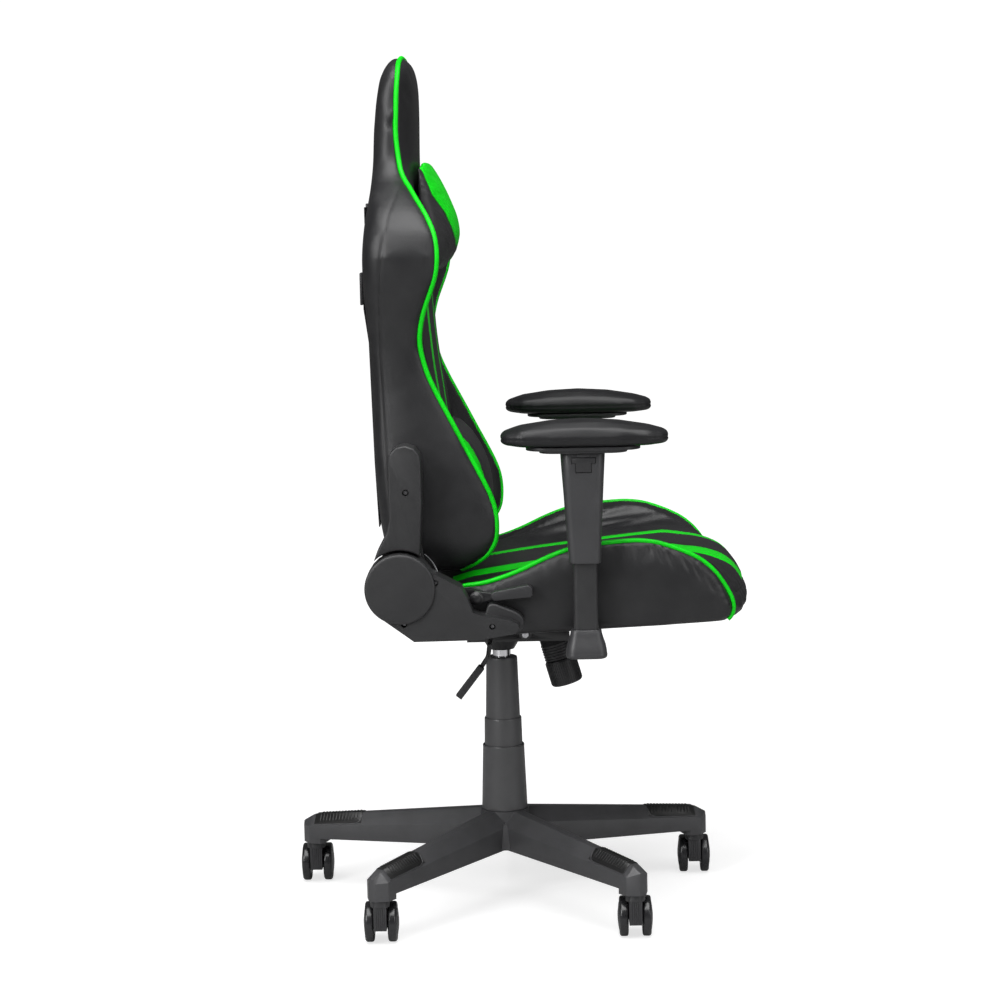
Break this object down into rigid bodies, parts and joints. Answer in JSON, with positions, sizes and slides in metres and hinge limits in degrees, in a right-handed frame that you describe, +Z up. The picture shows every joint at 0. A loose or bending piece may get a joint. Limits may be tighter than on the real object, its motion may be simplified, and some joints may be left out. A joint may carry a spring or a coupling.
{
  "type": "gaming chair",
  "caption": "High-backed gaming chair with a bucket seat and reclining back, neck and lumbar pillows on straps, height-adjustable armrests, gas lift and star base on casters.",
  "frame": {"origin": "on the floor, on the axis of the gas lift", "axes": "+Z up; the chair faces -Y, so the sitter's right hand is on -X"},
  "size_m": [0.6989, 0.7098, 1.304],
  "materials": {
    "painted_steel": "satin black powder coat",
    "base_moulding": "fine grained black nylon",
    "ribbed_insert": "ribbed black footrest insert",
    "column_cover": "satin black",
    "guide_bush": "natural nylon",
    "bright_steel": "ground",
    "chromed_steel": "polished",
    "caster_plastic": "black nylon",
    "grip_plastic": "black, finely textured",
    "cover_plastic": "fine grained black",
    "pad_plastic": "soft matt black",
    "zinc_bolt": "dark zinc",
    "upholstery": "black faux leather with green piping",
    "pillow_cover": "green faux leather, black sides",
    "lumbar_cover": "black faux leather with green bands",
    "strap": "woven black webbing"
  },
  "bodies": {
    "base": {"star_base": "base_moulding", "leg_inserts": "ribbed_insert", "column_tube": "painted_steel", "column_guide": "guide_bush", "cover_lower": "column_cover"},
    "middle_cover": {"cover_middle": "column_cover"},
    "spindle": {"lift_rod": "bright_steel", "rod_fittings": "bright_steel"},
    "mechanism": {"pressure_tube": "chromed_steel", "cover_upper": "column_cover", "mechanism_housing": "painted_steel", "spring_cover": "grip_plastic", "tilt_pin": "bright_steel", "tension_spring": "zinc_bolt"},
    "release_pin": {"release_pin": "bright_steel"},
    "knob": {"tension_knob": "grip_plastic"},
    "height_lever": {"height_lever": "painted_steel", "lever_grip": "grip_plastic"},
    "seat": {"tilt_plate": "painted_steel", "tension_bolt": "zinc_bolt", "mechanism_bolts": "zinc_bolt", "seat_frame": "painted_steel", "seat_cushion": "upholstery", "seat_brackets": "painted_steel", "seat_cover_screws": "zinc_bolt", "lower_cover_right": "cover_plastic", "lower_cover_left": "cover_plastic", "arm_post_right": "painted_steel", "arm_boot_right": "cover_plastic", "arm_post_left": "painted_steel", "arm_boot_left": "cover_plastic"},
    "recline_lever": {"recline_lever": "painted_steel", "recline_grip": "grip_plastic"},
    "back": {"back_frame": "painted_steel", "back_brackets": "painted_steel", "back_cushion": "upholstery", "upper_cover_right": "cover_plastic", "upper_cover_left": "cover_plastic", "back_cover_screws": "zinc_bolt", "neck_pillow": "pillow_cover", "lumbar_pillow": "lumbar_cover", "pillow_straps": "strap"},
    "caster_1": {"caster_hood_1": "caster_plastic"},
    "wheels_1": {"caster_wheels_1": "caster_plastic"},
    "caster_2": {"caster_hood_2": "caster_plastic"},
    "wheels_2": {"caster_wheels_2": "caster_plastic"},
    "caster_3": {"caster_hood_3": "caster_plastic"},
    "wheels_3": {"caster_wheels_3": "caster_plastic"},
    "caster_4": {"caster_hood_4": "caster_plastic"},
    "wheels_4": {"caster_wheels_4": "caster_plastic"},
    "caster_5": {"caster_hood_5": "caster_plastic"},
    "wheels_5": {"caster_wheels_5": "caster_plastic"},
    "arm_sleeve_right": {"arm_sleeve_right": "cover_plastic"},
    "arm_button_right": {"arm_button_right": "grip_plastic"},
    "arm_pad_right": {"arm_pad_base_right": "grip_plastic", "arm_pad_right": "pad_plastic"},
    "arm_sleeve_left": {"arm_sleeve_left": "cover_plastic"},
    "arm_button_left": {"arm_button_left": "grip_plastic"},
    "arm_pad_left": {"arm_pad_base_left": "grip_plastic", "arm_pad_left": "pad_plastic"}
  },
  "joints": [
    {"name": "caster_swivel_1", "type": "hinge", "parent": "base", "child": "caster_1", "pos_m": [0.31992, 0.00726, 0.05], "axis": [0, 0, 1], "continuous": true},
    {"name": "wheel_roll_1", "type": "hinge", "parent": "caster_1", "child": "wheels_1", "pos_m": [0.33992, 0.00726, 0.03], "axis": [0, 1, 0], "continuous": true},
    {"name": "caster_swivel_2", "type": "hinge", "parent": "base", "child": "caster_2", "pos_m": [0.09195, 0.3065, 0.05], "axis": [0, 0, 1], "continuous": true},
    {"name": "wheel_roll_2", "type": "hinge", "parent": "caster_2", "child": "wheels_2", "pos_m": [0.11195, 0.3065, 0.03], "axis": [0, 1, 0], "continuous": true},
    {"name": "caster_swivel_3", "type": "hinge", "parent": "base", "child": "caster_3", "pos_m": [-0.26309, 0.18217, 0.05], "axis": [0, 0, 1], "continuous": true},
    {"name": "wheel_roll_3", "type": "hinge", "parent": "caster_3", "child": "wheels_3", "pos_m": [-0.24309, 0.18217, 0.03], "axis": [0, 1, 0], "continuous": true},
    {"name": "caster_swivel_4", "type": "hinge", "parent": "base", "child": "caster_4", "pos_m": [-0.25455, -0.19392, 0.05], "axis": [0, 0, 1], "continuous": true},
    {"name": "wheel_roll_4", "type": "hinge", "parent": "caster_4", "child": "wheels_4", "pos_m": [-0.23455, -0.19392, 0.03], "axis": [0, 1, 0], "continuous": true},
    {"name": "caster_swivel_5", "type": "hinge", "parent": "base", "child": "caster_5", "pos_m": [0.10576, -0.30202, 0.05], "axis": [0, 0, 1], "continuous": true},
    {"name": "wheel_roll_5", "type": "hinge", "parent": "caster_5", "child": "wheels_5", "pos_m": [0.12576, -0.30202, 0.03], "axis": [0, 1, 0], "continuous": true},
    {"name": "seat_swivel", "type": "hinge", "parent": "base", "child": "spindle", "pos_m": [0, 0, 0.1], "axis": [0, 0, 1], "continuous": true},
    {"name": "seat_lift", "type": "slide", "parent": "spindle", "child": "mechanism", "axis": [0, 0, 1], "range_m": [-0.08, 0]},
    {"name": "middle_cover_slide", "type": "slide", "parent": "base", "child": "middle_cover", "axis": [0, 0, 1], "range_m": [-0.04, 0]},
    {"name": "release_pin_press", "type": "slide", "parent": "mechanism", "child": "release_pin", "axis": [0, 0, 1], "range_m": [-0.003, 0]},
    {"name": "tension_knob_turn", "type": "hinge", "parent": "mechanism", "child": "knob", "pos_m": [0, -0.0908, 0.377], "axis": [0, 0.2756, 0.9613], "continuous": true},
    {"name": "height_lever_lift", "type": "hinge", "parent": "mechanism", "child": "height_lever", "pos_m": [0, 0.014, 0.434], "axis": [1, 0, 0], "range_deg": [0, 12], "stiffness_Nm_per_rad": 2, "springref_deg": -8.59},
    {"name": "seat_rock", "type": "hinge", "parent": "mechanism", "child": "seat", "pos_m": [0, -0.038, 0.424], "axis": [-1, 0, 0], "range_deg": [0, 10], "stiffness_Nm_per_rad": 250, "springref_deg": -8.59, "deforming": ["tension_spring"]},
    {"name": "recline_lever_lift", "type": "hinge", "parent": "seat", "child": "recline_lever", "pos_m": [-0.26, 0.03, 0.515], "axis": [-1, 0, 0], "range_deg": [0, 25], "stiffness_Nm_per_rad": 0.6, "springref_deg": -17.19},
    {"name": "recline", "type": "hinge", "parent": "seat", "child": "back", "pos_m": [0, 0.139, 0.535], "axis": [-1, 0, 0], "range_deg": [0, 60]},
    {"name": "arm_height_right", "type": "slide", "parent": "seat", "child": "arm_sleeve_right", "axis": [0, 0, 1], "range_m": [-0.07, 0]},
    {"name": "arm_button_press_right", "type": "slide", "parent": "arm_sleeve_right", "child": "arm_button_right", "axis": [1, 0, 0], "range_m": [0, 0.0025], "stiffness_N_per_m": 400, "springref_m": -0.002},
    {"name": "arm_pad_swivel_right", "type": "hinge", "parent": "arm_sleeve_right", "child": "arm_pad_right", "pos_m": [-0.285, -0.128, 0.73], "axis": [0, 0, 1], "range_deg": [-30, 30]},
    {"name": "arm_height_left", "type": "slide", "parent": "seat", "child": "arm_sleeve_left", "axis": [0, 0, 1], "range_m": [-0.07, 0]},
    {"name": "arm_button_press_left", "type": "slide", "parent": "arm_sleeve_left", "child": "arm_button_left", "axis": [-1, 0, 0], "range_m": [0, 0.0025], "stiffness_N_per_m": 400, "springref_m": -0.002},
    {"name": "arm_pad_swivel_left", "type": "hinge", "parent": "arm_sleeve_left", "child": "arm_pad_left", "pos_m": [0.285, -0.128, 0.73], "axis": [0, 0, 1], "range_deg": [-30, 30]}
  ],
  "couplings": [
    {"joint": "middle_cover_slide", "follows": "seat_lift", "ratio": 0.5},
    {"joint": "release_pin_press", "follows": "height_lever_lift", "m_per_rad": -0.014}
  ]
}
